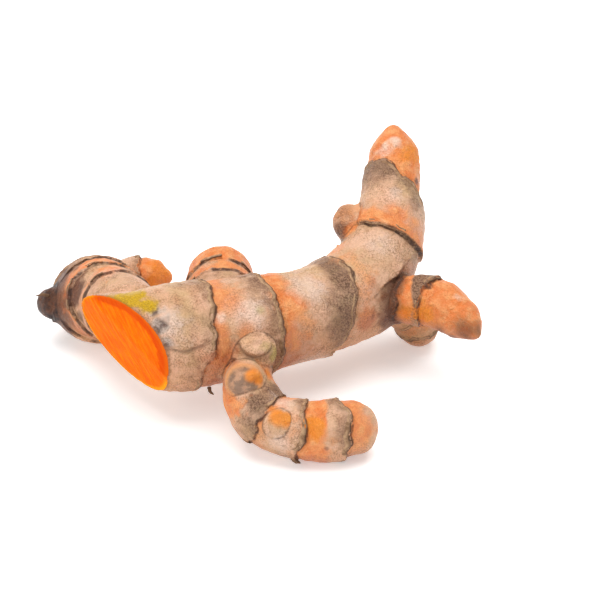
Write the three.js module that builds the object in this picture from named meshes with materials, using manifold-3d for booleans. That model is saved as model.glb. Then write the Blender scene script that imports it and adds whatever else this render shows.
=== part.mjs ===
// A fresh turmeric rhizome lying on a surface: a thick trunk, sliced off at its left end,
// with the fingers, knobs and buds that grow out of it. It grew as one piece, so it is one node.
// Millimetres, +Z up, +X along the trunk, resting on Z = 0.
import * as THREE from "three";
import { mergeVertices } from "three/addons/utils/BufferGeometryUtils.js";
import Module from "manifold-3d";

// Every shoot is a run of points along its middle, a list of [share of its length, radius],
// and the shares of its length where a ring scar crosses it.
const TRUNK = {
  spine: [[-58, 23, 20.5], [-41, 25, 20.5], [-26, 28.3, 20], [-16.8, 31.3, 19.5], [-7.3, 35.6, 19],
    [2.4, 40.5, 18.5], [11, 45.5, 18.5], [18.5, 50.5, 18.5], [24, 54.5, 18.5]],
  girth: [[0, 10.5], [0.2, 11.4], [0.34, 12.4], [0.55, 12.2], [0.68, 11.3], [0.85, 10.8], [1, 9.5]],
  rings: [0.24, 0.37, 0.565, 0.765],
  ends: [6, 8],
  sides: 28,
};
const UPPER_FINGER = {
  spine: [[11, 47.5, 18], [17.5, 53, 22.5], [21.4, 60.5, 28.5], [23.2, 70, 37], [24, 78, 44],
    [24, 82.5, 48.5]],
  girth: [[0, 9.5], [0.25, 10.3], [0.45, 9.1], [0.65, 7], [0.85, 6], [1, 5]],
  rings: [0.4, 0.76],
  ends: [5, 7],
  sides: 22,
};
const RIGHT_FINGER = {
  spine: [[15, 49, 17.5], [23.5, 45.3, 18.9], [32.5, 42.2, 20.2], [38.8, 36.8, 18.8], [43, 31.2, 17.2]],
  girth: [[0, 6.4], [0.3, 6], [0.6, 6], [0.8, 5], [1, 2.8]],
  rings: [0.2, 0.33, 0.59],
  ends: [5, 3],
  sides: 20,
};
const UNDER_STUB = {
  spine: [[20, 52, 17], [27.5, 54.5, 11], [32, 55, 0.5]],
  girth: [[0, 6.5], [0.6, 5.8], [1, 5]],
  rings: [0.55, 0.8],
  ends: [5, 4.5],
  sides: 18,
};
const FRONT_FINGER = {
  spine: [[-12, 28, 19], [-12.3, 20.5, 15], [-11.4, 14.8, 11.8], [-7.6, 9.8, 8.6], [0, 7.6, 7.2], [10, 8, 7],
    [18, 10.5, 7]],
  girth: [[0, 5.6], [0.18, 5.8], [0.34, 6.6], [0.5, 6.6], [0.75, 6.8], [0.9, 6.2], [1, 5.2]],
  rings: [0.17, 0.46, 0.64],
  ends: [5, 6],
  sides: 20,
};
const BACK_KNOB = {
  spine: [[-18.5, 34, 19], [-19.5, 46, 20.5], [-20, 59.5, 21.5]],
  girth: [[0, 8.5], [0.5, 8], [0.8, 7.4], [1, 6.8]],
  rings: [0.55, 0.75],
  ends: [5, 6],
  sides: 20,
};
const LEFT_KNOB = {
  spine: [[-38, 34, 20], [-46.5, 48, 16], [-52.5, 60, 10.5], [-54, 71, 8.9]],
  girth: [[0, 8], [0.4, 9], [0.65, 10.6], [1, 9]],
  rings: [0.26, 0.4, 0.56],
  ends: [4, 8],
  sides: 22,
};
const LEFT_STUB = {
  spine: [[-52, 58, 11.5], [-60, 56.5, 11], [-67, 56, 11]],
  girth: [[0, 8], [0.4, 6.6], [0.75, 4.2], [1, 3.2]],
  rings: [0.5, 0.68],
  ends: [4, 3],
  sides: 16,
};
const HIDDEN_FINGER = {
  spine: [[-50, 63, 12], [-43, 66, 13.2], [-33, 65.5, 13.2]],
  girth: [[0, 5.5], [0.5, 4.8], [0.75, 4.5], [1, 1.3]],
  rings: [0.5],
  ends: [3, 1.2],
  sides: 16,
};
const COLLAR = {
  spine: [[-11.2, 26, 19.5], [-11, 16.6, 19.6]],
  girth: [[0, 5.3], [0.6, 5.2], [1, 4.6]],
  rings: [],
  ends: [2, 3.5],
  sides: 20,
};
const COLLAR_BUD = {
  spine: [[-12, 20.5, 13.5], [-13, 11, 18.8]],
  girth: [[0, 4.6], [0.6, 4.6], [1, 4]],
  rings: [],
  ends: [2, 2],
  sides: 16,
};
const ELBOW_BUD = {
  spine: [[-5.8, 9.5, 8.5], [-4.6, 2, 12.2]],
  girth: [[0, 3.6], [0.6, 3.4], [1, 3]],
  rings: [],
  ends: [2, 2],
  sides: 16,
};
const SIDE_BUD = {
  spine: [[18.5, 63, 30.5], [8.2, 61.5, 31.5]],
  girth: [[0, 5], [0.6, 4.7], [1, 4]],
  rings: [],
  ends: [2, 3],
  sides: 16,
};
const SHOOTS = [TRUNK, UPPER_FINGER, RIGHT_FINGER, UNDER_STUB, FRONT_FINGER, BACK_KNOB, LEFT_KNOB, LEFT_STUB,
  HIDDEN_FINGER, COLLAR, COLLAR_BUD, ELBOW_BUD, SIDE_BUD];

const CUT_POINT = [-41.8, 25, 20]; // a point of the slice across the trunk
const CUT_NORMAL = [-0.68, -0.7, -0.21]; // the way the slice faces
const CUT_BLOCK = 40; // side of the block cut away in front of the slice
const STATION_STEP = 2.2; // length of trunk or finger between two rows of points
const RING_SWELL = 0.55; // how much thicker the skin grows towards a ring scar
const RING_SHORT = 0.7; // length of the step down just past a ring scar
const RING_CLEAR = 0.9; // rows of points closer than this to a ring scar are left out
const DOME_ANGLES = [15, 35, 60]; // degrees round a domed end at which it has a row of points
const LOBE = 0.03; // how far from round a shoot is, as a share of its radius
const LOBE_TURN = 5; // how far its lobes turn from end to end, in radians
const FRAMES = 240; // frames worked out along a spine
const WELD = 1e-4; // points closer than this are one

const wasm = await Module();
wasm.setup();

// The value at t of a list of [place, value], eased between its entries.
function eased(list, t) {
  if (t <= list[0][0]) return list[0][1];
  for (let i = 1; i < list.length; i++) {
    const [t0, v0] = list[i - 1];
    const [t1, v1] = list[i];
    if (t <= t1) return v0 + (v1 - v0) * THREE.MathUtils.smoothstep(t, t0, t1);
  }
  return list[list.length - 1][1];
}

// How far a shoot has swollen at t: it grows towards each ring scar and drops back just past it.
function swell(rings, t, length) {
  const step = RING_SHORT / length;
  const edges = [0, ...rings, 1];
  for (let i = 1; i < edges.length - 1; i++) {
    if (t > edges[i] && t < edges[i] + step) return RING_SWELL * (1 - (t - edges[i]) / step);
  }
  const next = edges.findIndex((edge) => edge >= t);
  if (next <= 0 || next === edges.length - 1) return 0;
  return RING_SWELL * ((t - edges[next - 1]) / (edges[next] - edges[next - 1])) ** 2;
}

// The rows of points along a shoot: closer at its round ends and at its ring scars.
function stations({ rings, ends }, length) {
  const [startDome, tipDome] = ends;
  const rows = new Set([0, 1]);
  for (const angle of DOME_ANGLES) {
    const share = 1 - Math.cos(THREE.MathUtils.degToRad(angle));
    rows.add((startDome * share) / length);
    rows.add(1 - (tipDome * share) / length);
  }
  const inner = length - startDome - tipDome;
  const count = Math.max(1, Math.round(inner / STATION_STEP));
  for (let i = 0; i <= count; i++) rows.add((startDome + (inner * i) / count) / length);
  const kept = [...rows].filter((t) => rings.every((ring) => Math.abs(t - ring) * length > RING_CLEAR));
  for (const ring of rings) kept.push(ring, ring + RING_SHORT / length);
  return kept.sort((a, b) => a - b);
}

// The closed surface of one shoot: a lathe profile with domed ends, bent along the spine.
function shoot(spec, number) {
  const curve = new THREE.CatmullRomCurve3(spec.spine.map((p) => new THREE.Vector3(...p)));
  const length = curve.getLength();
  const [startDome, tipDome] = spec.ends;
  const profile = stations(spec, length).map((t) => {
    const fromStart = Math.min(1, (t * length) / startDome);
    const fromTip = Math.min(1, ((1 - t) * length) / tipDome);
    const dome = Math.sqrt(1 - (1 - fromStart) ** 2) * Math.sqrt(1 - (1 - fromTip) ** 2);
    const radius = (eased(spec.girth, t) + swell(spec.rings, t, length)) * dome;
    return new THREE.Vector2(t === 0 || t === 1 ? 0 : radius, t * length);
  });
  const lathe = new THREE.LatheGeometry(profile, spec.sides);
  const frames = curve.computeFrenetFrames(FRAMES, false);
  const place = lathe.getAttribute("position");
  const point = new THREE.Vector3();
  for (let i = 0; i < place.count; i++) {
    const t = place.getY(i) / length;
    const angle = Math.atan2(place.getZ(i), place.getX(i));
    const wide = Math.sin(2 * angle + number + LOBE_TURN * t);
    const narrow = Math.sin(3 * angle - number);
    const lobes = 1 + LOBE * (wide + narrow / 2);
    const frame = Math.min(FRAMES, Math.round(t * FRAMES));
    curve.getPointAt(Math.min(1, Math.max(0, t)), point);
    point.addScaledVector(frames.normals[frame], place.getX(i) * lobes);
    point.addScaledVector(frames.binormals[frame], -place.getZ(i) * lobes);
    place.setXYZ(i, point.x, point.y, point.z);
  }
  return solid(lathe);
}

// A geometry as a manifold-3d solid.
function solid(geometry) {
  geometry.deleteAttribute("normal");
  geometry.deleteAttribute("uv");
  const merged = mergeVertices(geometry, WELD);
  const corners = merged.index.array;
  const kept = [];
  for (let i = 0; i < corners.length; i += 3) {
    const [a, b, c] = corners.slice(i, i + 3);
    if (a !== b && b !== c && c !== a) kept.push(a, b, c);
  }
  return new wasm.Manifold(new wasm.Mesh({
    numProp: 3,
    vertProperties: new Float32Array(merged.getAttribute("position").array),
    triVerts: new Uint32Array(kept),
  }));
}

// The block cut away in front of the slice.
function cutBlock() {
  const normal = new THREE.Vector3(...CUT_NORMAL).normalize();
  const block = new THREE.BoxGeometry(CUT_BLOCK, CUT_BLOCK, CUT_BLOCK);
  block.translate(0, 0, CUT_BLOCK / 2);
  block.applyQuaternion(new THREE.Quaternion().setFromUnitVectors(new THREE.Vector3(0, 0, 1), normal));
  block.translate(...CUT_POINT);
  return solid(block);
}

const solids = SHOOTS.map(shoot);
const trunk = solids[0].subtract(cutBlock());
const whole = solids.slice(1).reduce((sum, next) => sum.add(next), trunk);
const grown = whole.getMesh();

const skin = new THREE.BufferGeometry();
skin.setAttribute("position", new THREE.BufferAttribute(grown.vertProperties, 3));
skin.setIndex(new THREE.BufferAttribute(grown.triVerts, 1));
skin.computeBoundingBox();
const middle = skin.boundingBox.getCenter(new THREE.Vector3());
skin.translate(-middle.x, -middle.y, -skin.boundingBox.min.z);
skin.computeVertexNormals();

const rhizome = new THREE.Mesh(skin, new THREE.MeshStandardMaterial({ color: 0xc08a55, roughness: 0.7 }));
rhizome.name = "rhizome";
const part = new THREE.Group();
part.add(rhizome);

export default part;
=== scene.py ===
"""The looks of a fresh turmeric rhizome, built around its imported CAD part."""
import math
import bmesh
import bpy
import numpy as np
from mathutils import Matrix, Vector
from mathutils.bvhtree import BVHTree


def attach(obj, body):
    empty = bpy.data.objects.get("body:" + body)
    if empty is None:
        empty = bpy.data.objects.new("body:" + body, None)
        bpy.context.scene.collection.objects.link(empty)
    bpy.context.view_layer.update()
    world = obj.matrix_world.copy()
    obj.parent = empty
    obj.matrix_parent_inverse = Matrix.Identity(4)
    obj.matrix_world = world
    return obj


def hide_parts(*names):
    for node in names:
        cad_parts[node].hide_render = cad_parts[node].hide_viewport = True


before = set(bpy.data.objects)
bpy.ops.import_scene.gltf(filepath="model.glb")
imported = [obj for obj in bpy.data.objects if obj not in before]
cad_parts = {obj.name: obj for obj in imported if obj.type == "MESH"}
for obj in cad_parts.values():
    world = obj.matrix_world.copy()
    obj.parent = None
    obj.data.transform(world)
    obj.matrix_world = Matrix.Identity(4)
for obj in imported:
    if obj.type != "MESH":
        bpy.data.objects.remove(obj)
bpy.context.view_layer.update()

# The shapes are worked out in millimetres in a frame of their own, where the trunk grows.
# ORIGIN is where that frame holds the part's own origin.
ORIGIN = np.array([-11.3253, 41.9028, 0.1341])
MM = 0.001
VOXEL = 0.38        # size of the grid the shoots are merged on
FRAMES = 240        # frames worked out along a spine
LOBE = 0.03         # how far from round a shoot is, as a share of its radius
LOBE_TURN = 5.0     # how far its lobes turn from end to end
ROW_GAP = 0.7       # how far apart a shoot's rows of points are
ROW_STEP = 0.8      # and the points along each
SWELL = 0.75        # how much thicker the skin grows towards a ring scar
STEP = 0.45         # length of the step down just past a ring scar
FAR = 99.0          # stands for no ring on that side
RELAX = 4           # rounds of smoothing once the shoots are merged
SETTLE = 3          # rounds of moving the merged skin onto the shoots
JOIN = ("trunk", "upper_finger")    # the pair that runs into one another with no seam
JOIN_REACH = 6.0    # how far from where they meet their skin is evened out
JOIN_ROUNDS = 120   # rounds of smoothing there

# The slice is two flat facets: a point on each and the way it faces. The second is the upper
# right one, where the break bends.
FACETS = [[[-41.8, 25.0, 20.0], [-0.68, -0.7, -0.21]],
          [[-41.0, 23.3, 23.1], [-0.61, -0.78, -0.02]]]
FACETS = [[np.array(point), np.array(way) / np.linalg.norm(way)] for point, way in FACETS]
CUT_POINT, CUT_NORMAL = FACETS[0]

# Every shoot is a run of points along its middle and a list of [share of its length, radius].
# Its rings are [place along it, tilt, way it tilts in degrees, ledge, bark, flush]: how high the
# ledge is (below 0 it faces the other way), how grey the skin is before it and how orange past it.
# Its ends are how long the rounded-off start and end are, and its tip is how orange the skin is
# past the last ring.
SHOOTS = {
    "trunk": {
        "spine": [[-58, 23, 20.5], [-41, 25, 20.5], [-26, 28.3, 20], [-16.8, 31.3, 19.5],
                  [-7.3, 35.6, 19], [2.4, 40.5, 18.5], [11, 45.5, 18.5], [18.5, 50.5, 18.5],
                  [24, 54.5, 18.5]],
        "girth": [[0, 10.5], [0.2, 11.4], [0.34, 12.4], [0.55, 12.2], [0.68, 11.3], [0.85, 10.8],
                  [1, 9.5]],
        "rings": [[34, 2.5, 170, 0.9, 0.7, 0.65], [49.5, 1.5, 130, 0.9, 0.75, 0.8],
                  [68, 4, 180, 1.1, 1.1, 0.35]],
        "ends": [6, 8], "tip": 0.0},
    "upper_finger": {
        "spine": [[11, 47.5, 18], [17.5, 53, 22.5], [21.4, 60.5, 28.5], [23.2, 70, 37],
                  [24, 78, 44], [24, 82.5, 48.5]],
        "girth": [[0, 9.5], [0.25, 10.3], [0.45, 9.1], [0.65, 7], [0.85, 6.1], [1, 4]],
        "rings": [[18, 1, -160, -1.3, 0.4, 0.75], [33, 5, -150, 0.8, 0.95, 0.8]],
        "ends": [5, 8.5], "tip": 0.85},
    "right_finger": {
        "spine": [[15, 49, 17.5], [23.5, 45.3, 18.9], [32.5, 42.2, 20.2], [38.8, 36.8, 18.8],
                  [43, 31.2, 17.2]],
        "girth": [[0, 6.4], [0.3, 6], [0.6, 6], [0.8, 4.9], [1, 2]],
        "rings": [[6.5, 0.5, 160, 0.8, 0.6, 1.0], [10.5, 1, 170, 1.0, 1.2, 1.2],
                  [17, 1.5, 180, 1.0, 1.2, 1.2]],
        "ends": [5, 3], "tip": 0.9},
    "under_stub": {
        "spine": [[20, 52, 17], [27.5, 54.5, 11], [32, 55, 0.5]],
        "girth": [[0, 6.5], [0.6, 5.8], [1, 5]],
        "rings": [[11.5, 0.5, 0, 1.0, 0.8, 0.6], [16.5, 0.5, 90, 0.8, 0.8, 0.4]],
        "ends": [5, 4.5], "tip": 0.2},
    "front_finger": {
        "spine": [[-12, 28, 19], [-12.3, 20.5, 15], [-11.4, 14.8, 11.8], [-7.6, 9.8, 8.6],
                  [0, 7.6, 7.2], [10, 8, 7], [18, 10.5, 7]],
        "girth": [[0, 5.6], [0.18, 5.8], [0.34, 6.6], [0.5, 6.6], [0.75, 6.8], [0.9, 6.2],
                  [1, 5.2]],
        "rings": [[8, 0.5, 90, 0.8, 0.5, 0.5], [22, 0.5, 90, 0.8, 0.8, 0.6],
                  [30.5, 1, 100, 0.8, 1.0, 1.2], [40, 1, 60, 0.8, 0.8, 0.7]],
        "ends": [5, 6], "tip": 0.3},
    "back_knob": {
        "spine": [[-18.5, 34, 19], [-19.5, 46, 20.5], [-20, 59.5, 21.5]],
        "girth": [[0, 8.5], [0.5, 8], [0.8, 7.4], [1, 6.8]],
        "rings": [[11.5, 0.5, -100, -0.6, 0.5, 0.7], [16, 0.5, -60, -0.7, 0.6, 1.0]],
        "ends": [5, 6], "tip": 0.45},
    "left_knob": {
        "spine": [[-38, 34, 20], [-46.5, 48, 16], [-52.5, 60, 10.5], [-54, 71, 8.9]],
        "girth": [[0, 8], [0.4, 9], [0.65, 10.6], [1, 9]],
        "rings": [[11.5, 3.5, -140, -0.7, 0.5, 0.4], [17.5, 5.5, -140, -0.9, 0.5, 0.9],
                  [25, 4.5, -140, -0.8, 0.7, 0.3], [33, 2, -140, 1.2, 0.8, 0.3]],
        "ends": [4, 8], "tip": 0.1},
    "left_stub": {
        "spine": [[-52, 58, 11.5], [-60, 56.5, 11], [-67, 56, 11]],
        "girth": [[0, 8], [0.4, 6.6], [0.75, 4.2], [1, 3.2]],
        "rings": [[7.5, 0.5, 0, 0.8, 0.8, 0.0], [10.5, 0.5, 60, 0.8, 0.8, 0.0]],
        "ends": [4, 3], "tip": 0.0},
    "hidden_finger": {
        "spine": [[-50, 63, 12], [-43, 66, 13.2], [-33, 65.5, 13.2]],
        "girth": [[0, 5.5], [0.5, 4.8], [0.75, 4.5], [1, 1.3]],
        "rings": [[9.5, 0.5, 120, 0.8, 0.6, 1.2]],
        "ends": [3, 1.2], "tip": 1.2},
    "collar": {
        "spine": [[-11.2, 26, 19.5], [-11, 16.6, 19.6]],
        "girth": [[0, 5.3], [0.6, 5.2], [1, 4.6]],
        "rings": [], "ends": [2, 3.5], "tip": 0.0},
    "collar_bud": {
        "spine": [[-12, 20.5, 13.5], [-13, 10.2, 18.4]],
        "girth": [[0, 4.6], [0.6, 4.6], [1, 4]],
        "rings": [], "ends": [2, 2], "tip": 0.0},
    "elbow_bud": {
        "spine": [[-5.8, 9.5, 8.5], [-4.6, 2, 12.2]],
        "girth": [[0, 3.6], [0.6, 3.4], [1, 3]],
        "rings": [], "ends": [2, 2], "tip": 0.0},
    "side_bud": {
        "spine": [[18.5, 63, 30.5], [8.2, 61.5, 31.5]],
        "girth": [[0, 5], [0.6, 4.7], [1, 4]],
        "rings": [], "ends": [2, 3], "tip": 0.4},
}
NAMES = list(SHOOTS)

# How wide the hollow between two shoots is filled in. FILLET is for any pair not named.
FILLET = 1.3
FILLETS = {("trunk", "upper_finger"): 9.0, ("trunk", "left_knob"): 2.0,
           ("left_knob", "left_stub"): 3.0, ("left_knob", "hidden_finger"): 1.6,
           ("front_finger", "collar_bud"): 1.2, ("front_finger", "elbow_bud"): 2.2,
           ("upper_finger", "side_bud"): 1.6, ("upper_finger", "right_finger"): 1.0}


# ---------------------------------------------------------------- numbers

def smooth(value, start, end):
    """0 at start, 1 at end and eased between."""
    t = np.clip((value - start) / (end - start), 0, 1)
    return t * t * (3 - 2 * t)


def hump(value, width):
    """1 where the value is 0, falling away on both sides over about that width."""
    return np.exp(-(value / width) ** 2)


def eased(pairs, t):
    """The value at t of a list of [place, value], eased between its entries."""
    out = np.full(np.shape(t), float(pairs[0][1]))
    for (t0, v0), (t1, v1) in zip(pairs[:-1], pairs[1:]):
        out = np.where(t >= t0, v0 + (v1 - v0) * smooth(t, t0, t1), out)
    return out


def scatter(ix, iy, iz, seed):
    """A number from 0 to 1 for every whole-numbered place."""
    h = (ix * 374761393 + iy * 668265263 + iz * 1442695041 + seed * 1274126177) & 0xFFFFFFFF
    h = ((h ^ (h >> 13)) * 1274126177) & 0xFFFFFFFF
    return ((h ^ (h >> 16)) & 0xFFFF) / 65535.0


def noise(points, size, seed, octaves=1):
    """Smooth noise from -1 to 1 with features of about that size, at every point."""
    total = np.zeros(len(points))
    weight, norm = 1.0, 0.0
    for octave in range(octaves):
        p = np.asarray(points, float) / size * 2 ** octave + 37.7 * (seed + octave)
        cell = np.floor(p).astype(np.int64)
        f = p - cell
        f = f * f * (3 - 2 * f)
        value = np.zeros(len(p))
        for corner in range(8):
            dx, dy, dz = corner & 1, corner >> 1 & 1, corner >> 2 & 1
            part = scatter(cell[:, 0] + dx, cell[:, 1] + dy, cell[:, 2] + dz, seed + octave)
            part = part * np.where(dx, f[:, 0], 1 - f[:, 0])
            part = part * np.where(dy, f[:, 1], 1 - f[:, 1])
            value += part * np.where(dz, f[:, 2], 1 - f[:, 2])
        total += weight * (value * 2 - 1)
        norm += weight
        weight *= 0.5
    return total / norm


# ---------------------------------------------------------------- shoots

def through(points):
    """A smooth curve through these points, as many short steps."""
    p = [np.array(q, float) for q in points]
    p = [2 * p[0] - p[1]] + p + [2 * p[-1] - p[-2]]
    steps = []
    for i in range(1, len(p) - 2):
        before, a, b, after = p[i - 1:i + 3]
        d0, d1, d2 = [np.linalg.norm(n - m) ** 0.5 for m, n in ((before, a), (a, b), (b, after))]
        ta = ((a - before) / d0 - (b - before) / (d0 + d1) + (b - a) / d1) * d1
        tb = ((b - a) / d1 - (after - a) / (d1 + d2) + (after - b) / d2) * d1
        t = np.linspace(0, 1, 80, endpoint=False)[:, None]
        steps.append((2 * t ** 3 - 3 * t ** 2 + 1) * a + (t ** 3 - 2 * t ** 2 + t) * ta
                     + (-2 * t ** 3 + 3 * t ** 2) * b + (t ** 3 - t ** 2) * tb)
    steps.append(p[-2][None, :])
    return np.concatenate(steps)


def bands(first, count, loop):
    """The faces between that many rows of points, each closed into a loop."""
    faces = []
    for row in range(count - 1):
        a, b = first + row * len(loop), first + (row + 1) * len(loop)
        faces += [(a + i, a + j, b + j, b + i) for i, j in zip(loop, loop[1:] + loop[:1])]
    return faces


def strand(first, count, loop):
    """The same, closed at both ends."""
    last = first + (count - 1) * len(loop)
    ends = [tuple(first + i for i in reversed(loop)), tuple(last + i for i in loop)]
    return bands(first, count, loop) + ends


class Shoot:
    """A trunk, finger, knob or bud: a round bar along a bent spine."""

    def __init__(self, name, spec, number):
        self.name, self.number = name, number
        self.girth, self.rings, self.ends = spec["girth"], spec["rings"], spec["ends"]
        self.tip = spec["tip"]
        path = through(spec["spine"])
        arc = np.concatenate([[0], np.cumsum(np.linalg.norm(np.diff(path, axis=0), axis=1))])
        self.length = arc[-1]
        self.at = np.linspace(0, self.length, FRAMES + 1)
        self.middle = np.stack([np.interp(self.at, arc, path[:, k]) for k in range(3)], 1)
        along = np.gradient(self.middle, axis=0)
        self.along = along / np.linalg.norm(along, axis=1)[:, None]
        seed = np.zeros(3)
        seed[np.argmin(np.abs(self.along[0]))] = 1
        side = np.cross(self.along[0], seed)
        side /= np.linalg.norm(side)
        normals = [np.cross(self.along[0], side)]
        for way in self.along[1:]:
            turned = normals[-1] - way * np.dot(normals[-1], way)
            normals.append(turned / np.linalg.norm(turned))
        self.normal = np.array(normals)
        self.across = -np.cross(self.along, self.normal)

    def full(self, s, angle):
        """The radius there, before the ends round off."""
        t = np.clip(s / self.length, 0, 1)
        lobes = np.sin(2 * angle + self.number + LOBE_TURN * t)
        lobes = lobes + np.sin(3 * angle - self.number) / 2
        return eased(self.girth, t) * (1 + LOBE * lobes)

    def mesh(self):
        """Closed rows of points round the shoot, and the faces between them."""
        start, tip = self.ends
        turns = np.radians(range(14, 90, 16))
        rows = list(start * (1 - np.cos(turns))) + list(self.length - tip * (1 - np.cos(turns)))
        rows += list(np.arange(start, self.length - tip, ROW_GAP)) + [self.length - tip]
        rows = np.array(sorted(rows))
        count = max(20, int(2 * math.pi * max(r for _, r in self.girth) / ROW_STEP))
        s = np.repeat(rows, count)
        angle = np.tile(np.arange(count) * 2 * math.pi / count, len(rows))
        dome = np.sqrt(1 - (1 - np.clip(s / start, 0, 1)) ** 2)
        dome = dome * np.sqrt(1 - (1 - np.clip((self.length - s) / tip, 0, 1)) ** 2)
        radius = self.full(s, angle) * dome
        points = self.out(s, angle, radius)
        points = np.concatenate([points, self.middle[:1], self.middle[-1:]])
        faces = bands(0, len(rows), list(range(count)))
        last = (len(rows) - 1) * count
        for k in range(count):
            faces.append((len(points) - 2, (k + 1) % count, k))
            faces.append((len(points) - 1, last + k, last + (k + 1) % count))
        return points, faces

    def out(self, s, angle, radius):
        """The points at that place along, turn and distance out."""
        place = np.clip(s / self.length * FRAMES, 0, FRAMES)
        middle = np.stack([np.interp(place, np.arange(FRAMES + 1), self.middle[:, k])
                           for k in range(3)], 1)
        i = np.round(place).astype(int)
        out = self.normal[i] * np.cos(angle)[:, None] + self.across[i] * np.sin(angle)[:, None]
        return middle + out * radius[:, None]

    def side(self, s, way):
        """The point of the skin at that place along, on the side that faces that way."""
        i = int(round(np.clip(s / self.length, 0, 1) * FRAMES))
        angle = math.atan2(float(way @ self.across[i]), float(way @ self.normal[i]))
        s, angle = np.array([float(s)]), np.array([angle])
        return self.out(s, angle, self.full(s, angle))[0]

    def coordinates(self, points):
        """Where points are on this shoot: place along, turn and distance out."""
        spots = self.middle[::2]
        gap = (points ** 2).sum(1)[:, None] - 2 * points @ spots.T + (spots ** 2).sum(1)[None, :]
        i = gap.argmin(1) * 2
        away = points - self.middle[i]
        step = (away * self.along[i]).sum(1)
        s = self.at[i] + step
        flat = away - self.along[i] * step[:, None]
        x, y = (flat * self.normal[i]).sum(1), (flat * self.across[i]).sum(1)
        return s, np.arctan2(y, x), np.hypot(x, y)

    def gap(self, s, angle, radial):
        """About how far outside the skin a point at these coordinates is."""
        full = self.full(s, angle)
        start, tip = self.ends
        over = np.where(s < self.length / 2, (start - s) / start, (s - self.length + tip) / tip)
        size = np.where(s < self.length / 2, start, tip)
        over = np.clip(over, 0, None)
        ball = np.hypot(over, radial / full)
        reach = np.hypot(over * size, radial) / np.maximum(ball, 1e-6)
        return np.where(over > 0, (ball - 1) * reach, radial - full)


GROWN = [Shoot(name, spec, number) for number, (name, spec) in enumerate(SHOOTS.items())]


# ---------------------------------------------------------------- merging the shoots

def new_mesh(name, points, faces):
    """An object made of these points and faces."""
    mesh = bpy.data.meshes.new(name)
    mesh.from_pydata([tuple(p) for p in points], [], [tuple(f) for f in faces])
    mesh.update()
    obj = bpy.data.objects.new(name, mesh)
    bpy.context.collection.objects.link(obj)
    return obj


def sliced(points, faces):
    """The trunk's mesh with everything in front of the slice cut away and the slice filled."""
    obj = new_mesh("cutting", points, faces)
    work = bmesh.new()
    work.from_mesh(obj.data)
    for point, way in FACETS:
        geometry = work.verts[:] + work.edges[:] + work.faces[:]
        cut = bmesh.ops.bisect_plane(work, geom=geometry, plane_co=Vector(point),
                                     plane_no=Vector(way), clear_outer=True)
        edges = [e for e in cut["geom_cut"] if isinstance(e, bmesh.types.BMEdge)]
        bmesh.ops.holes_fill(work, edges=edges, sides=0)
    bmesh.ops.triangulate(work, faces=[f for f in work.faces if len(f.verts) > 4])
    work.verts.index_update()
    points = np.array([v.co[:] for v in work.verts])
    faces = [tuple(v.index for v in f.verts) for f in work.faces]
    work.free()
    bpy.data.objects.remove(obj)
    return points, faces


def merged():
    """One closed skin round every shoot: its points and its faces of four."""
    points, faces = [], []
    count = 0
    for shoot in GROWN:
        p, f = shoot.mesh()
        if shoot.name == "trunk":
            p, f = sliced(p, f)
        points.append(p)
        faces += [tuple(i + count for i in face) for face in f]
        count += len(p)
    obj = new_mesh("merging", np.concatenate(points), faces)
    remesh = obj.modifiers.new("grid", "REMESH")
    remesh.mode = "VOXEL"
    remesh.voxel_size = VOXEL
    ready = obj.evaluated_get(bpy.context.evaluated_depsgraph_get())
    mesh = ready.to_mesh()
    out = np.empty(len(mesh.vertices) * 3)
    mesh.vertices.foreach_get("co", out)
    quads = np.empty(len(mesh.loops), np.int32)
    mesh.loops.foreach_get("vertex_index", quads)
    sizes = np.empty(len(mesh.polygons), np.int32)
    mesh.polygons.foreach_get("loop_total", sizes)
    ready.to_mesh_clear()
    bpy.data.objects.remove(obj)
    starts = np.concatenate([[0], np.cumsum(sizes)])
    faces = [tuple(quads[a:b]) for a, b in zip(starts[:-1], starts[1:])]
    return out.reshape(-1, 3), faces


def edge_pairs(faces):
    """Every pair of points that an edge joins, once."""
    pairs = set()
    for face in faces:
        for a, b in zip(face, face[1:] + face[:1]):
            pairs.add((a, b) if a < b else (b, a))
    return np.array(sorted(pairs))


def from_near(values, pairs):
    """How far each point's value, or row of values, is from the mean of its neighbours'."""
    a, b = pairs[:, 0], pairs[:, 1]
    n = len(values)
    near = np.bincount(a, minlength=n) + np.bincount(b, minlength=n)
    columns = values.reshape(n, -1).T
    total = np.stack([np.bincount(a, c[b], n) + np.bincount(b, c[a], n) for c in columns], 1)
    return (total / near[:, None]).reshape(values.shape) - values


def relaxed(points, pairs, rounds):
    """The points smoothed along the edges without shrinking."""
    for _ in range(rounds):
        for share in (0.5, -0.53):
            points = points + share * from_near(points, pairs)
    return points


def normals_of(points, faces):
    """The skin's outward direction at every point."""
    quads = np.array([f if len(f) == 4 else f + f[-1:] for f in faces])
    a, b, c, d = (points[quads[:, k]] for k in range(4))
    face = np.cross(c - a, d - b)
    out = np.zeros_like(points)
    for k in range(4):
        for axis in range(3):
            out[:, axis] += np.bincount(quads[:, k], face[:, axis], len(points))
    return out / np.maximum(np.linalg.norm(out, axis=1), 1e-12)[:, None]


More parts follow.
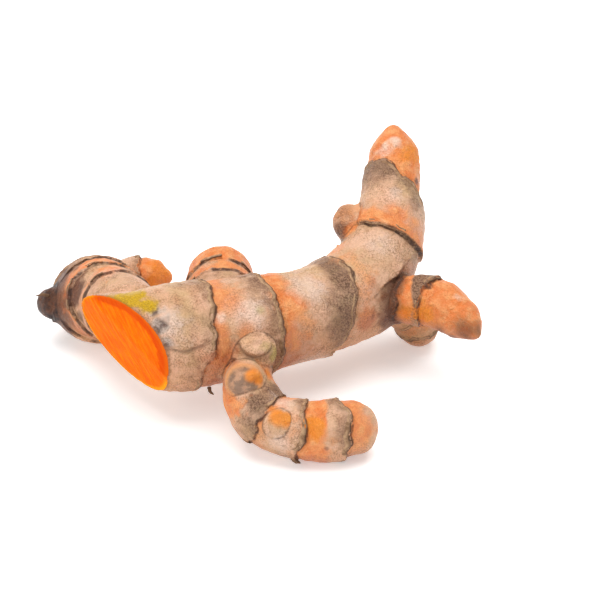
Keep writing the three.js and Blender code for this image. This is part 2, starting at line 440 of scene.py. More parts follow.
class Skin:
    """The merged skin and, for every point of it, which shoot it is on and where."""

    def __init__(self):
        self.points, self.faces = merged()
        self.pairs = edge_pairs(self.faces)
        self.points = relaxed(self.points, self.pairs, RELAX)
        for _ in range(SETTLE):
            self.survey()
            self.normals = normals_of(self.points, self.faces)
            move = np.clip(-self.field, -0.5, 0.5)
            move = np.where(self.plane > -1.2, move * smooth(-self.plane, 0.2, 1.2), move)
            self.points = self.points + self.normals * move[:, None]
        self.points = relaxed(self.points, self.pairs, 1)
        self.survey()
        self.ease()
        self.flatten_cut()
        self.survey()
        self.normals = normals_of(self.points, self.faces)

    def survey(self):
        """Finds the shoot each point is on, its coordinates there and the next shoot's nearness."""
        self.places = [shoot.coordinates(self.points) for shoot in GROWN]
        self.every = np.array([shoot.gap(*place) for shoot, place in zip(GROWN, self.places)])
        self.owner, self.other = self.every.argsort(axis=0)[:2]
        rows = np.arange(len(self.points))
        first, second = self.every[self.owner, rows], self.every[self.other, rows]
        self.s, self.angle, self.radial = [np.choose(self.owner, values)
                                           for values in zip(*self.places)]
        wide = np.full((len(GROWN), len(GROWN)), FILLET)
        for (a, b), size in FILLETS.items():
            i, j = NAMES.index(a), NAMES.index(b)
            wide[i, j] = wide[j, i] = size
        size = wide[self.owner, self.other]
        blend = np.clip(size - np.abs(first - second), 0, None) / size
        self.field = first - blend ** 2 * size / 4
        self.crease = second - first
        above = [(self.points - point) @ way for point, way in FACETS]
        self.facet = (above[1] > above[0]).astype(int)
        self.plane = np.maximum(*above)

    def flatten_cut(self):
        """Lays the points of the slice onto its plane."""
        inside = self.every[NAMES.index("trunk")] < 0.35
        on = (np.abs(self.plane) < 0.6) & inside & self.is_on("trunk")
        way = np.array([f[1] for f in FACETS])[self.facet]
        self.points = self.points - way * np.where(on, self.plane, 0)[:, None]
        self.cut = on

    def is_on(self, name):
        return self.owner == NAMES.index(name)

    def joined(self, a, b):
        """Which points are between these two shoots."""
        i, j = NAMES.index(a), NAMES.index(b)
        return ((self.owner == i) & (self.other == j)) | ((self.owner == j) & (self.other == i))

    def ease(self):
        """Smooths the skin where the trunk runs into the upper finger."""
        share = 1 - smooth(self.crease, JOIN_REACH / 2, JOIN_REACH)
        share = np.where(self.joined(*JOIN), share, 0)
        for _ in range(JOIN_ROUNDS):
            move = from_near(self.points, self.pairs)
            self.points = self.points + 0.6 * share[:, None] * move

    def blended(self, values, share):
        """The values averaged with their neighbours', as much as share says."""
        for _ in range(60):
            values = values + 0.7 * share * from_near(values, self.pairs)
        return values


def raggedness(points):
    """How far a ring scar strays from its even course at these points."""
    stray = noise(points, 4.0, 11) * 0.9 + noise(points, 1.7, 12) * 0.5
    return stray + noise(points, 0.8, 13) * 0.22


def torn(ledge):
    """How ragged a ring scar with this ledge is."""
    return 1.0 if ledge > 0 else 0.5


def ring_places(shoot, s, angle, points):
    """Distance past the last ring and before the next one, and each one's ledge, bark and flush."""
    n = len(s)
    ragged = raggedness(points)
    past, before = np.full(n, FAR), np.full(n, FAR)
    last, following = np.zeros((3, n)), np.zeros((3, n))
    for place, tilt, way, *kind in shoot.rings:
        u = s - place - tilt * np.cos(angle - math.radians(way)) - ragged * torn(kind[0])
        kind = np.array(kind)[:, None]
        nearer = (u >= 0) & (u < past)
        past = np.where(nearer, u, past)
        last = np.where(nearer, kind, last)
        nearer = (u < 0) & (-u < before)
        before = np.where(nearer, -u, before)
        following = np.where(nearer, kind, following)
    return past, before, last, following


# Each bud that shows its tip: radius, height of its lip, height, middle and size of its nipple,
# and whether its disc has a colour of its own.
BUDS = [["collar_bud", 4.4, 0.5, 1.1, [-11.1, 11.1, 19.8], 1.9, True],
        ["elbow_bud", 3.2, 0.35, 0.5, [-5.0, 3.4, 13.8], 2.6, False]]


def bud_marks(skin, marks):
    """Raises each bud's lip and nipple, and marks how far each point is from its middle."""
    lift = np.zeros(len(skin.points))
    for name, radius, lip, nipple, middle, size, disc in BUDS:
        shoot = GROWN[NAMES.index(name)]
        s, angle, radial = skin.places[NAMES.index(name)]
        on = skin.is_on(name) & (s > shoot.length * 0.45)
        away = np.linalg.norm(skin.points - np.array(middle), axis=1)
        away = away * (1 + 0.15 * noise(skin.points, 1.5, 46))
        rings = lip * hump(radial - radius * 0.84, 0.45)
        rings = rings - lip * 0.7 * hump(radial - radius * 0.66, 0.5)
        rings = rings - 0.12 * hump(away - size * 1.2, 0.3)
        rings = rings + nipple * hump(away, size * 0.75)
        rings = rings + 0.08 * noise(np.stack([radial * 0.6, angle * 3, s * 0], 1), 0.6, 47)
        lift = np.where(on, rings, lift)
        marks["bud"] = np.where(on & disc, radial / radius, marks["bud"])
        beside = np.linalg.norm(skin.points - np.array(middle) - np.array([1.6, 0, -0.8]), axis=1)
        glow = 1 - smooth(np.minimum(away, beside * 1.1), size * 0.45, size * 1.15)
        marks["nipple"] = np.where(on, glow, marks["nipple"])
    return lift


def folds(skin, marks):
    """Curved folds across the collar."""
    p = skin.points
    up = (p - np.array([-11.1, 20, 20])) @ np.array([0.15, -0.5, 0.85])
    wave = np.sin(up * 2.6 + 1.6 * noise(p, 3.5, 48) + 0.6)
    slit = 0.6 * hump(up - 2.6, 0.35)
    on = skin.is_on("collar")
    marks["furrow"] = np.where(on, hump(up - 2.6, 0.3), marks["furrow"])
    return np.where(on, 0.4 * wave - slit, 0)


def trunk_crease(skin, marks):
    """The depth of a crease that runs along the trunk's side, between the slice and a ring scar."""
    s, angle, radial = skin.places[NAMES.index("trunk")]
    wander = 1.2 * np.sin(s * 0.7) * 0.4 + noise(skin.points, 2.0, 45) * 0.5
    off = (angle - math.radians(107)) * radial + wander
    reach = smooth(s, 23, 25.5) * (1 - smooth(s, 32.5, 34)) * skin.is_on("trunk")
    marks["furrow"] = reach * hump(off, 0.5)
    return reach * (0.35 * hump(off, 0.45) + 0.15 * smooth(-off, 0, 1.0) * hump(off, 3))


def detailed(skin):
    """Raises ring ledges, wrinkles, lumps and buds on the skin, and returns its marks."""
    p = skin.points
    n = len(p)
    marks = {key: np.zeros(n) for key in ("grey", "orange", "rust_and_shade", "ring", "nipple")}
    marks["bud"] = np.full(n, 9.0)
    facing_up = smooth(skin.normals[:, 2], -0.6, 0.5)
    # Painted shade: the skin is laid a warmer, darker tan the more it faces down.
    marks["under"] = 1 - facing_up
    lift = np.zeros(n)
    for k, shoot in enumerate(GROWN):
        on = skin.owner == k
        s, angle, radius, up = skin.s[on], skin.angle[on], skin.radial[on], facing_up[on]
        past, before, last, following = ring_places(shoot, s, angle, p[on])
        span = np.clip(past + before, 2, 16)
        toward = np.clip(1 - before / span, 0, 1)
        ledge_last, ledge_next = last[0], following[0]
        # For each way a ledge can face: its height and how near it is where the skin thickens
        # towards it, then its height and how far away it is on the low side.
        plain = [[np.clip(ledge_next, 0, None), toward], [np.clip(ledge_last, 0, None), past]]
        turned = [[np.clip(-ledge_last, 0, None), 1 - toward],
                  [np.clip(-ledge_next, 0, None), before]]
        for (thick, near), (low, away) in (plain, turned):
            lift[on] += SWELL * thick * near ** 2 + SWELL * low * np.clip(1 - away / STEP, 0, 1)
            lift[on] -= 0.25 * low * hump(away - STEP, 0.35)
        coarse = noise(p[on], 7.0, 51, 2)
        patchy = noise(p[on], 5.0, 52, 2)
        grey = following[1] * smooth(toward + 0.4 * coarse, 0.3, 1.05) * (0.6 + 0.4 * up)
        warm = last[2] * (1 - smooth(past + 5 * patchy, 2.5, 9.0))
        warm = np.maximum(warm, np.where(before == FAR, shoot.tip * (0.9 + 0.4 * coarse), 0))
        warm = warm * (1 - np.clip(following[1], 0, 1) * smooth(toward + 0.3 * coarse, 0.5, 0.85))
        marks["grey"][on] = grey
        # The flush is painted stronger on skin that faces up, and as a darker rust tone on skin
        # that faces down: painted light and painted shade on one colour.
        marks["orange"][on] = warm * (0.3 + 0.8 * up)
        marks["rust_and_shade"][on] = warm * (1 - up) * 0.9
        # The ring mark is how far a point is from just under a ledge's edge; the dark line laid
        # there is painted shadow under the ledge, with the scar's own dark edge.
        under = np.where(ledge_last > 0, past, FAR)
        under = np.minimum(under, np.where(ledge_next < 0, before, FAR))
        over = np.where(ledge_next > 0, before, FAR)
        over = np.minimum(over, np.where(ledge_last < 0, past, FAR))
        marks["ring"][on] = np.clip(np.minimum(np.abs(under - 0.25), over + 0.3), 0, 6)
        around = np.stack([np.cos(angle), np.sin(angle)], 1)
        hoops = noise(np.column_stack([s, around * 2.2 + k * 17]), 1.1, 61, 2)
        long = noise(np.column_stack([s * 0.22, around * radius[:, None]]), 1.5, 71, 2)
        lift[on] += 0.13 * hoops + 0.07 * long
    lift += bud_marks(skin, marks)
    lift -= trunk_crease(skin, marks)
    joined = skin.joined(*JOIN)
    lift = lift * np.where(joined, 1, smooth(skin.crease, -0.3, 2.0))
    lift += folds(skin, marks) * smooth(skin.crease, 0.0, 0.8)
    join = np.where(joined, 1 - smooth(skin.crease, 2.0, JOIN_REACH), 0)
    lift = skin.blended(lift, join)
    for key in ("grey", "orange", "rust_and_shade"):
        marks[key] = skin.blended(marks[key], join)
    marks["join"] = join
    lift += 0.40 * noise(p, 9.0, 81, 2) + 0.18 * noise(p, 3.0, 82, 2) + 0.07 * noise(p, 1.1, 83)
    fine = noise(p @ fibre_axes(), 1.0, 91, 2)
    lift = np.where(skin.cut, 0.10 * fine - 0.05, lift * smooth(-skin.plane, 0.0, 1.5))
    skin.points = p + skin.normals * lift[:, None]
    marks["sliced"] = 1 - smooth(-skin.plane + 0.3 * noise(p, 0.9, 92), 0.15, 0.8)
    marks["crease"] = np.where(joined, 4, np.clip(skin.crease, 0, 4))
    return marks


def fibre_axes():
    """Axes that stretch noise along the slice's fibres."""
    down = np.array([0.45, -0.25, -0.85])
    down = down - CUT_NORMAL * (down @ CUT_NORMAL)
    down /= np.linalg.norm(down)
    side = np.cross(CUT_NORMAL, down)
    return np.stack([down * 0.22, side * 1.4, CUT_NORMAL * 0.5], 1)


# ---------------------------------------------------------------- looks

def rgb(r, g, b):
    """A colour from its usual 0 to 255 numbers."""
    def linear(v):
        v /= 255
        return v / 12.92 if v <= 0.04045 else ((v + 0.055) / 1.055) ** 2.4
    return (linear(r), linear(g), linear(b), 1.0)


class Nodes:
    """A new material, its colour so far and short ways to add nodes to it."""

    def __init__(self, name):
        self.material = bpy.data.materials.new(name)
        self.material.use_nodes = True
        self.tree = self.material.node_tree
        self.shader = self.tree.nodes["Principled BSDF"]
        self.colour = None

    def add(self, kind, **settings):
        node = self.tree.nodes.new(kind)
        for key, value in settings.items():
            setattr(node, key, value)
        return node

    def feed(self, socket, value):
        if isinstance(value, bpy.types.NodeSocket):
            self.tree.links.new(value, socket)
        else:
            socket.default_value = value

    def math(self, kind, a, b):
        node = self.add("ShaderNodeMath", operation=kind)
        self.feed(node.inputs[0], a)
        self.feed(node.inputs[1], b)
        return node.outputs[0]

    def times(self, a, b):
        return self.math("MULTIPLY", a, b)

    def plus(self, a, b):
        return self.math("ADD", a, b)

    def off(self, value):
        """1 where the value is 0, and 0 where it is 1."""
        return self.math("SUBTRACT", 1.0, value)

    def broken(self, value, noise, loose):
        """The value with noise added evenly about it."""
        return self.plus(value, self.times(self.math("SUBTRACT", noise, 0.5), loose))

    def step(self, value, start, end):
        node = self.add("ShaderNodeMapRange", interpolation_type="SMOOTHSTEP")
        self.feed(node.inputs["Value"], value)
        node.inputs["From Min"].default_value = start
        node.inputs["From Max"].default_value = end
        return node.outputs["Result"]

    def mix(self, share, a, b, kind="MIX"):
        node = self.add("ShaderNodeMix", data_type="RGBA", blend_type=kind)
        self.feed(node.inputs["Factor"], share)
        self.feed(node.inputs[6], a)
        self.feed(node.inputs[7], b)
        return node.outputs[2]

    def lay(self, share, strength, paint, kind="MIX"):
        """Lays paint over the colour so far."""
        self.colour = self.mix(self.times(share, strength), self.colour, paint, kind)

    def noise(self, place, scale, detail, rough):
        node = self.add("ShaderNodeTexNoise")
        self.feed(node.inputs["Vector"], place)
        node.inputs["Scale"].default_value = scale
        node.inputs["Detail"].default_value = detail
        node.inputs["Roughness"].default_value = rough
        return node.outputs["Fac"]

    def place(self):
        return self.add("ShaderNodeTexCoord").outputs["Object"]

    def mark(self, name):
        return self.add("ShaderNodeAttribute", attribute_name=name).outputs["Fac"]

    def grain(self):
        return self.add("ShaderNodeAttribute", attribute_name="grain").outputs["Vector"]

    def finish(self, specular, rough, height, strength, distance):
        """Feeds the shader, with the height as bumps that deep, and returns the material."""
        self.feed(self.shader.inputs["Base Color"], self.colour)
        self.shader.inputs["Specular IOR Level"].default_value = specular
        self.feed(self.shader.inputs["Roughness"], rough)
        bump = self.add("ShaderNodeBump")
        bump.inputs["Strength"].default_value = strength
        bump.inputs["Distance"].default_value = distance
        self.feed(bump.inputs["Height"], height)
        self.feed(self.shader.inputs["Normal"], bump.outputs["Normal"])
        return self.material


def turmeric():
    """Thin pinkish skin with bark, orange flushes, ring scars, creases and buds, with painted
    sheen, glints and bounce light, and painted shade on the undersides and in ring lines, furrows
    and creases.
    """
    n = Nodes("turmeric")
    place, grain = n.place(), n.grain()
    mark = {key: n.mark(key) for key in ("ring", "crease", "furrow", "bud", "nipple", "dried",
                                         "under", "join", "sliced", *MARKINGS)}

    broad = n.noise(place, 130.0, 4.0, 0.55)
    middling = n.noise(place, 420.0, 5.0, 0.6)
    fine = n.noise(place, 2500.0, 3.0, 0.65)
    apart = n.off(mark["join"])
    rings = n.times(n.noise(grain, 700.0, 3.0, 0.6), apart)
    streaks = n.times(n.noise(grain, 260.0, 4.0, 0.6), apart)

    def patch(kind, loose, grainy, start=0.12, end=0.85):
        """A mark with its edges broken up by noise."""
        value = n.broken(mark[kind], middling, loose)
        return n.step(n.broken(value, fine, grainy), start, end)

    n.colour = n.mix(n.step(broad, 0.35, 0.68), rgb(222, 176, 136), rgb(238, 190, 158))
    n.lay(n.step(middling, 0.42, 0.75), 0.5, rgb(212, 148, 106))
    n.lay(n.step(streaks, 0.45, 0.75), 0.4, rgb(238, 172, 136))
    olive = n.step(n.noise(place, 85.0, 3.0, 0.6), 0.5, 0.68)
    n.lay(olive, 0.4, rgb(206, 174, 116))
    n.lay(n.step(rings, 0.5, 0.7), 0.3, rgb(190, 138, 96))
    # Painted shade: skin that faces down is laid a warmer, darker tan.
    n.lay(mark["under"], 0.55, rgb(214, 144, 92))
    # Darker rust tone: the listed rust marks, and painted shade where the orange flush faces down.
    n.lay(patch("rust_and_shade", 0.7, 0.2), 0.75, rgb(196, 106, 60))
    grey = patch("grey", 0.9, 0.4, 0.2, 1.0)
    bark = n.mix(n.step(fine, 0.3, 0.72), rgb(86, 58, 44), rgb(152, 112, 84))
    bark = n.mix(n.times(n.step(broad, 0.5, 0.7), 0.3), bark, rgb(140, 124, 76))
    n.lay(grey, 0.85, bark)
    orange = n.mix(n.step(middling, 0.35, 0.7), rgb(236, 122, 42), rgb(252, 170, 104))
    flushed = patch("orange", 0.9, 0.1, 0.1, 0.85)
    n.lay(flushed, 0.92, orange)
    deep = n.mix(middling, rgb(236, 112, 12), rgb(252, 162, 48))
    n.lay(patch("deep", 0.6, 0.1, 0.1, 0.8), 0.97, deep)
    # Painted highlight: pale sheen on upper skin, and painted bounce light on some lower skin.
    n.lay(patch("pale", 1.3, 0.3, 0.15, 1.1), 0.75, rgb(248, 220, 202))
    # Brown patches; the same mark also holds the painted shade where two shoots meet.
    brown = n.mix(middling, rgb(62, 30, 18), rgb(124, 70, 40))
    n.lay(patch("brown", 0.9, 0.3, 0.15, 1.2), 0.92, brown)
    n.lay(patch("olive", 0.6, 0.5, 0.2, 1.0), 0.55, rgb(176, 166, 70))
    crust = n.mix(n.step(middling, 0.42, 0.58), rgb(96, 78, 72), rgb(200, 178, 164))
    n.lay(patch("ledge", 0.5, 0.2), 0.9, crust)
    n.lay(patch("spot", 0.3, 0.2, 0.25, 0.8), 0.6, rgb(96, 56, 42))

    pore = n.off(n.step(fine, 0.38, 0.56))
    uneven = n.step(n.noise(place, 210.0, 3.0, 0.6), 0.36, 0.62)
    pore = n.times(pore, n.plus(0.35, uneven))
    pore = n.times(pore, n.off(n.times(flushed, 0.6)))
    n.lay(pore, 0.6, (0.5, 0.4, 0.32, 1), "MULTIPLY")
    # Painted glints: tiny light flecks where the fine bumps would catch the light.
    n.lay(n.step(fine, 0.56, 0.7), 0.2, rgb(230, 180, 140), "SCREEN")
    # Dark ring lines: painted shadow under each ledge, with the scar's own dark edge.
    faint = n.step(n.noise(place, 300.0, 3.0, 0.6), 0.36, 0.58)
    line = n.plus(mark["ring"], n.times(middling, 0.35))
    line = n.times(n.off(n.step(line, 0.28, 0.72)), faint)
    n.lay(line, 0.9, rgb(62, 36, 24))
    # Painted shade in the furrows along the trunk and across the collar.
    furrow = n.times(mark["furrow"], n.step(fine, 0.3, 0.6))
    n.lay(furrow, 0.75, rgb(96, 66, 46))
    # Painted shade in the creases where two shoots meet.
    seam = n.plus(mark["crease"], n.times(middling, 0.5))
    seam = n.times(n.off(n.step(seam, 0.2, 0.7)), faint)
    n.lay(seam, 0.6, rgb(104, 60, 36))

    bud = n.off(n.step(mark["bud"], 0.72, 0.9))
    disc = n.mix(n.step(middling, 0.38, 0.62), rgb(142, 112, 92), rgb(210, 160, 126))
    n.lay(bud, 0.85, disc)
    lip = n.off(n.step(mark["bud"], 0.9, 1.05))
    lip = n.times(n.step(mark["bud"], 0.72, 0.84), lip)
    n.lay(lip, 0.7, rgb(236, 160, 98))
    nipple = n.mix(middling, rgb(232, 118, 24), rgb(250, 166, 66))
    n.lay(mark["nipple"], 1.0, nipple)

    lemon = n.step(n.broken(mark["lemon"], middling, 0.9), 0.15, 0.7)
    yellow = n.mix(n.step(fine, 0.4, 0.65), rgb(190, 146, 0), rgb(226, 182, 0))
    n.lay(lemon, 0.97, yellow)
    n.lay(mark["sliced"], 0.7, rgb(150, 84, 20))
    dried = n.mix(n.step(middling, 0.35, 0.65), rgb(40, 20, 14), rgb(104, 62, 38))
    n.lay(mark["dried"], 1.0, dried)

    rough = n.plus(n.plus(0.3, n.times(grey, 0.08)), n.times(middling, 0.16))
    height = n.plus(n.plus(n.times(rings, 0.5), middling), n.times(fine, 0.7))
    return n.finish(0.4, rough, height, 1.0, 0.0009)


def papery():
    """Dry brown scale, darker at its torn edge."""
    n = Nodes("dry_scale")
    speck = n.noise(n.place(), 900.0, 4.0, 0.6)
    n.colour = n.mix(n.step(speck, 0.35, 0.65), rgb(126, 94, 68), rgb(182, 146, 112))
    edge = n.step(n.broken(n.mark("edge"), speck, 0.9), 0.45, 1.0)
    n.lay(edge, 0.85, rgb(74, 48, 34))
    return n.finish(0.2, 0.7, speck, 0.6, 0.0003)


def flesh():
    """Moist orange flesh with fine fibres, a yellower rim and a darker upper edge."""
    n = Nodes("flesh")
    place = n.place()
    fibre = n.noise(n.grain(), 900.0, 4.0, 0.6)
    middling = n.noise(place, 420.0, 5.0, 0.6)
    fine = n.noise(place, 2400.0, 3.0, 0.65)
    n.colour = n.mix(n.step(fibre, 0.35, 0.7), rgb(238, 90, 0), rgb(254, 122, 0))
    n.lay(n.step(fine, 0.5, 0.7), 0.3, rgb(255, 148, 12))
    band = n.off(n.step(n.plus(n.mark("rim"), n.times(middling, 0.8)), 0.5, 1.3))
    n.lay(band, 0.7, rgb(252, 168, 24))
    burnt = n.step(n.broken(n.mark("burnt"), middling, 1.2), 0.3, 0.9)
    n.lay(burnt, 0.75, rgb(206, 62, 0))
    height = n.plus(n.times(fibre, 0.7), n.times(fine, 0.5))
    return n.finish(0.02, 0.5, height, 0.6, 0.0004)


# Markings that the ring scars don't give: each shoot's, as [place along it, side it is on, size,
# strength]. A side is a mix of ways, and a way named twice counts twice.
MARKINGS = {
    "orange": {
        "trunk": [[74, "up", 5, 0.45], [40, "up up front", 5, 0.6], [54, "up front", 5, 0.8],
            [54, "front", 4, 0.6]],
        "front_finger": [[16, "left front", 5, 1.3], [12, "right up", 3, 1.0]],
        "upper_finger": [[7, "left up", 4, 0.6], [22, "front", 5, 0.8]],
        "side_bud": [[6, "front", 3, 0.9]],
        "left_knob": [[16, "up", 4, 0.9]],
        "back_knob": [[18, "front up", 4, 1.0]]},
    "deep": {
        "upper_finger": [[41, "right front", 4, 1.0], [38, "right", 3, 1.0]],
        "right_finger": [[13, "front", 3, 0.8], [20, "front", 4, 0.8], [8, "front up", 2, 0.9]],
        "front_finger": [[33, "front up", 3, 1.1], [16, "left", 2.5, 0.8],
            [12, "right up", 2, 0.7], [24, "front up up", 2, 0.6]],
        "hidden_finger": [[15, "front", 5, 1.2], [16, "up", 4, 1.0]]},
    # Darker rust tone; the same key also holds the flush's painted shade on skin that faces down.
    "rust_and_shade": {
        "trunk": [[37, "front", 5, 0.8], [36, "front down", 5, 0.8], [73, "front", 4, 0.9],
            [76, "up front", 3, 0.6]],
        "front_finger": [[13, "front left", 2, 1.0]],
        "right_finger": [[7, "front", 3, 0.8]]},
    "grey": {
        "trunk": [[30, "up front", 7, 0.45], [46, "up up front", 5, 0.4],
            [65, "up front", 7, 0.5]],
        "upper_finger": [[16, "right front", 4, 0.5]],
        "front_finger": [[19, "up right", 4, 1.3], [20, "up front", 3, 1.1]],
        "side_bud": [[10, "front", 4, 1.3], [9, "up", 5, 0.8]],
        "hidden_finger": [[8, "front up", 6, 0.2]]},
    "brown": {
        "right_finger": [[28, "front down", 5, 0.9], [32, "front", 5, 0.9], [34, "up", 4, 0.8]],
        "upper_finger": [[49, "up", 1.2, 1.0], [34, "right front", 1.6, 1.2]],
        "left_knob": [[20, "left front up", 5, 1.6], [24, "left front", 4, 1.0],
            [17, "left front", 3, 1.0]]},
    # Painted highlights, and painted bounce light where a side faces down.
    "pale": {
        "trunk": [[26, "up front", 5, 0.9], [37, "up front", 2, 0.7], [44, "up front", 5, 0.9],
            [60, "up up front", 6, 0.8], [60, "front down", 7, 0.7]],
        "upper_finger": [[13, "front up", 6, 0.6], [28, "front", 4, 0.6], [44, "front", 2.2, 0.9],
            [41, "front front left up", 2.5, 0.8]],
        "right_finger": [[25, "up", 2, 0.6]],
        "front_finger": [[27, "front", 5, 0.8], [26, "up", 4, 0.8]],
        "back_knob": [[14, "front", 3, 0.4]],
        "left_knob": [[14, "up", 4, 0.5]]},
    "spot": {
        "trunk": [[25, "up front", 0.7, 0.9], [24, "front", 0.6, 0.9], [64, "front", 0.5, 0.8]],
        "upper_finger": [[25, "right front", 0.8, 1.0], [20, "right front", 0.7, 0.9]],
        "front_finger": [[19, "left front", 0.5, 0.8], [28, "front down", 0.8, 0.9],
            [36, "front", 0.9, 0.8]],
        "back_knob": [[14, "left", 0.7, 0.8]]},
    "lemon": {
        "trunk": [[13, "up", 3, 1.0], [16, "up", 3.5, 1.0], [19, "up", 3.5, 1.0],
            [22, "up up up front", 2.5, 0.9]]},
    "ledge": {
        "trunk": [[23, "up up front", 2, 1.0], [24, "up front", 2.4, 1.1],
            [25, "front front up", 2, 1.0]]},
    "olive": {
        "trunk": [[47, "front", 2.5, 0.8], [46, "up front", 2, 0.7], [30, "front", 3, 0.4]],
        "collar": [[6, "right", 3, 1.0], [8, "right up", 2.5, 0.7]]},
}
SIDES = {"up": (0, 0, 1), "down": (0, 0, -1), "front": (0, -1, 0), "back": (0, 1, 0),
         "left": (-1, 0, 0), "right": (1, 0, 0)}
SPOT_FULL, SPOT_GONE = 0.1, 1.35      # where a marking starts to fade and is gone, in its sizes
# Where two shoots meet and the skin between them is darkened with painted shade, and how far and
# how strongly.
JOIN_SHADE = [["trunk", "right_finger", 5.0, 1.1], ["upper_finger", "right_finger", 2.5, 0.8],
          ["left_knob", "left_stub", 4.0, 1.4], ["trunk", "collar_bud", 1.5, 0.6],
          ["trunk", "front_finger", 2.0, 0.5]]


def paint(skin, marks):
    """Adds the listed markings, and painted shade where shoots meet, to what the ring scars give.
    """
    p = skin.points
    ragged = 1 + 0.55 * noise(p, 4.0, 31, 2) + 0.2 * noise(p, 1.0, 33)
    for kind, shoots in MARKINGS.items():
        out = marks.get(kind, np.zeros(len(p)))
        for name, spots in shoots.items():
            for s, side, size, strength in spots:
                way = sum(np.array(SIDES[word]) for word in side.split())
                centre = GROWN[NAMES.index(name)].side(s, way)
                away = np.linalg.norm(p - centre, axis=1) * ragged / size
                out = np.maximum(out, strength * (1 - smooth(away, SPOT_FULL, SPOT_GONE)))
        marks[kind] = out
    # Painted shade, darker towards where two shoots meet.
    for first, second, reach, strength in JOIN_SHADE:
        near = np.where(skin.joined(first, second), skin.crease, FAR) * ragged
        marks["brown"] = np.maximum(marks["brown"], strength * (1 - smooth(near, 0, reach)))
    marks["dried"] = np.where(skin.is_on("left_stub"), smooth(skin.s, 5.5, 8.0), 0)
    return marks


def piece(name, points, faces, material, marks, grain):
    """A piece of the rhizome in metres, with its marks stored on its points."""
    used = np.unique(np.concatenate([np.array(face) for face in faces]))
    new = np.full(len(points), -1)
    new[used] = np.arange(len(used))
    obj = new_mesh(name, points[used], [tuple(new[i] for i in face) for face in faces])
    mesh = obj.data
    mesh.polygons.foreach_set("use_smooth", np.ones(len(mesh.polygons), bool))
    for key, values in marks.items():
        layer = mesh.attributes.new(key, "FLOAT", "POINT")
        layer.data.foreach_set("value", np.asarray(values, np.float32)[used])
    layer = mesh.attributes.new("grain", "FLOAT_VECTOR", "POINT")
    layer.data.foreach_set("vector", grain[used].astype(np.float32).ravel())
    mesh.materials.append(material)
    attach(obj, "root")
    return obj


class Surface:
    """The finished skin, for laying other pieces on."""

    def __init__(self, skin):
        self.skin = skin
        self.tree = BVHTree.FromPolygons([tuple(q) for q in skin.points], skin.faces)
        self.normals = normals_of(skin.points, skin.faces)

    def under(self, point):
        """The nearest place on the skin, its outward direction and the nearest point's number."""
        spot, normal, face, _ = self.tree.find_nearest(tuple(point))
        nearest = self.skin.faces[face][0]
        return np.array(spot), self.normals[nearest], nearest


# How far past the ring scar each row of a fringe lies, and how far it stands off the skin.
FRINGE_ROWS = [[-1.3, -0.06], [-0.7, 0.06], [-0.25, 0.14], [0.12, 0.2]]
FRINGE_STEP = 0.4       # how far apart its columns of points are
FRINGE_THICK = 0.09
FRINGE_LACK = -0.28     # the noise has to be above this, or there is no fringe left
TURNED_LACK = 0.12      # the same for a ring scar that faces the other way


def fringe_runs(shoot, number, ring, surface):
    """The unbroken runs of a ring scar's torn fringe, as rows of points with their directions."""
    place, tilt, way, ledge = ring[:4]
    girth = 2 * math.pi * float(shoot.full(np.array([float(place)]), np.zeros(1))[0])
    around = int(girth / FRINGE_STEP)
    angle = np.arange(around + 1) * 2 * math.pi / around
    s = place + tilt * np.cos(angle - math.radians(way))
    spots = shoot.out(s, angle, shoot.full(s, angle) + SWELL / 2)
    s = s + raggedness(spots) * torn(ledge)
    tatters = noise(spots, 1.2, 15, 2)
    broken = noise(spots, 5.0, 16, 2)
    sign, lack = (1, FRINGE_LACK) if ledge > 0 else (-1, TURNED_LACK)
    skin = surface.skin
    runs, run = [], []
    for k in range(around + 1):
        column = []
        for away, stand in FRINGE_ROWS:
            reach = away if away < 0 else away + 0.35 * tatters[k]
            at = np.array([np.clip(s[k] + sign * reach, 0, shoot.length)])
            out = shoot.out(at, angle[k:k + 1], shoot.full(at, angle[k:k + 1]) + 0.3)[0]
            spot, normal, nearest = surface.under(out)
            lifted = stand * (0.8 + 0.8 * max(0.0, tatters[k])) if stand > 0 else stand
            column.append((spot + normal * lifted, normal, nearest))
        on = all(skin.owner[i] == number and skin.crease[i] > 0.5 and skin.plane[i] < -0.7
                 for _, _, i in column)
        if on and broken[k] > lack:
            run.append(column)
        else:
            runs.append(run)
            run = []
    runs.append(run)
    return [r for r in runs if len(r) > 3]


def fringes(surface, scale):
    """The torn papery edges of old scales, along the ring scars."""
    points, faces, edge = [], [], []
    rows = len(FRINGE_ROWS)
    loop = list(range(rows)) + list(range(2 * rows - 1, rows - 1, -1))
    for number, shoot in enumerate(GROWN):
        for ring in shoot.rings:
            for run in fringe_runs(shoot, number, ring, surface):
                first = len(points)
                for column in run:
                    for side in (0.0, -FRINGE_THICK):
                        for row, (spot, normal, _) in enumerate(column):
                            points.append(spot + normal * side)
                            edge.append(row / (rows - 1))
                faces += strand(first, len(run), loop)
    points = (np.array(points) - ORIGIN) * MM
    piece("ring_fringes", points, faces, scale, {"edge": np.array(edge)}, np.zeros_like(points))


def thread(name, places, radii, material):
    """A thin closed strand through these places, as thick as radii at each."""
    sides, every = 10, 16
    path = through(places)
    share = np.linspace(0, 1, len(path))
    thick = np.interp(share, np.linspace(0, 1, len(radii)), radii)
    path, thick = path[::every], thick[::every]
    along = np.gradient(path, axis=0)
    along /= np.linalg.norm(along, axis=1)[:, None]
    side = np.cross(along, np.array([0.3, 0.2, 0.93]))
    side /= np.linalg.norm(side, axis=1)[:, None]
    up = np.cross(side, along)
    points = []
    for k, middle in enumerate(path):
        for i in range(sides):
            turn = 2 * math.pi * i / sides
            wobble = 1 + 0.2 * math.sin(3 * turn + k * 0.9)
            out = side[k] * math.cos(turn) + up[k] * math.sin(turn)
            points.append(middle + out * thick[k] * wobble)
    faces = strand(0, len(path), list(range(sides)))
    points = (np.array(points) - ORIGIN) * MM
    edge = np.full(len(points), 0.8)
    piece(name, points, faces, material, {"edge": edge}, np.zeros_like(points))


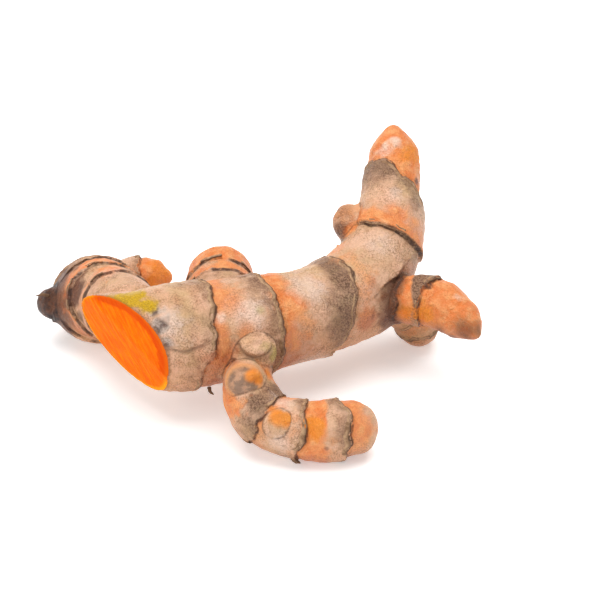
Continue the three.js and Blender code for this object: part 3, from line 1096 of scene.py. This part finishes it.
def rootlets(scale):
    """The dried rootlets and slivers that still hang from the skin."""
    thread("rootlet_front", [[-1.6, 3.0, 2.6], [-0.9, 2.2, 2.2], [0.1, 1.6, 2.0]],
           [0.8, 0.55, 0.15], scale)
    thread("sliver_left", [[-63.5, 54.5, 14.4], [-65, 53.8, 15.2], [-66.6, 53.6, 15.0]],
           [0.5, 0.35, 0.12], scale)
    thread("sliver_trunk", [[-21.6, 20.5, 10.0], [-21.1, 19.4, 9.4], [-20.4, 18.7, 9.2]],
           [0.5, 0.35, 0.12], scale)


def finished(skin, marks):
    """The skin and the slice's flesh, as two pieces."""
    place = (skin.points - ORIGIN) * MM
    grain = np.stack([skin.s, skin.radial * np.cos(skin.angle) * 0.3,
                      skin.radial * np.sin(skin.angle) * 0.3 + skin.owner * 100.0], 1) * MM
    on_slice = np.array([all(skin.cut[i] for i in face) for face in skin.faces])
    skin_faces = [face for face, cut in zip(skin.faces, on_slice) if not cut]
    flesh_faces = [face for face, cut in zip(skin.faces, on_slice) if cut]
    outer = piece("rhizome_skin", place, skin_faces, turmeric(), marks, grain)
    high = (skin.points - CUT_POINT) @ np.array([0.35, -0.5, 0.79])
    deep = -skin.every[NAMES.index("trunk")]
    burnt = smooth(high, 1, 7) * (1 - smooth(deep, 0.8, 3.2)) + 0.15 * skin.facet
    inner = {"rim": np.clip(deep, 0, 3), "burnt": burnt}
    fibres = (skin.points @ fibre_axes()) * MM
    slice_face = piece("slice_flesh", place, flesh_faces, flesh(), inner, fibres)
    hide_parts("rhizome")
    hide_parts("rhizome")
    scale = papery()
    fringes(Surface(skin), scale)
    rootlets(scale)


# ---------------------------------------------------------------- studio

FLOOR = 4.0                         # how far the floor reaches each way, in metres
WORLD = 0.34                        # how bright the surroundings are
# Each square light's place in metres, side and power.
LIGHTS = {"overhead": [(0.0, 0.12, 0.8), 0.9, 9.7], "left_front": [(-0.6, -0.5, 0.5), 0.5, 2.2]}
LIT = (0, 0, 0.02)                  # the place they point at
AIM = (0.0, 50.0, 16.0)             # what the camera looks at, among the shoots
TILT, REACH = 32, 0.41667           # how far down it looks, in degrees, and from how far, in metres
LENS, SENSOR = 100, 36


def aimed(obj, place, aim):
    """Puts a light or the camera there, looking at aim."""
    obj.location = place
    obj.rotation_euler = (Vector(aim) - obj.location).to_track_quat("-Z", "Y").to_euler()
    bpy.context.collection.objects.link(obj)


def studio():
    """A pale floor that glows faintly, soft light and the camera."""
    corners = [(-FLOOR, -FLOOR, 0), (FLOOR, -FLOOR, 0), (FLOOR, FLOOR, 0), (-FLOOR, FLOOR, 0)]
    floor = new_mesh("floor", corners, [(0, 1, 2, 3)])
    paper = Nodes("floor_paper")
    shader = paper.shader
    shader.inputs["Base Color"].default_value = (0.92, 0.92, 0.92, 1)
    shader.inputs["Roughness"].default_value = 0.9
    shader.inputs["Specular IOR Level"].default_value = 0.1
    # The floor glows faintly though it is no lamp: the glow lightens the shadows on it and lights
    # the undersides from below.
    shader.inputs["Emission Color"].default_value = (1, 1, 1, 1)
    shader.inputs["Emission Strength"].default_value = 0.36
    floor.data.materials.append(paper.material)

    world = bpy.data.worlds.new("studio")
    bpy.context.scene.world = world
    world.use_nodes = True
    world.node_tree.nodes["Background"].inputs["Color"].default_value = (1, 1, 1, 1)
    world.node_tree.nodes["Background"].inputs["Strength"].default_value = WORLD
    for name, (place, side, power) in LIGHTS.items():
        data = bpy.data.lights.new(name, "AREA")
        data.shape = "SQUARE"
        data.size = side
        data.energy = power
        aimed(bpy.data.objects.new(name, data), place, LIT)

    data = bpy.data.cameras.new("camera")
    data.lens = LENS
    data.sensor_width = SENSOR
    data.clip_start = 0.01
    camera = bpy.data.objects.new("camera", data)
    aim = (np.array(AIM) - ORIGIN) * MM
    tilt = math.radians(TILT)
    aimed(camera, aim + np.array([0, -math.cos(tilt), math.sin(tilt)]) * REACH, aim)
    bpy.context.scene.camera = camera
    bpy.context.scene.view_settings.view_transform = "Standard"


skin = Skin()
marks = detailed(skin)
marks = paint(skin, marks)
finished(skin, marks)
studio()
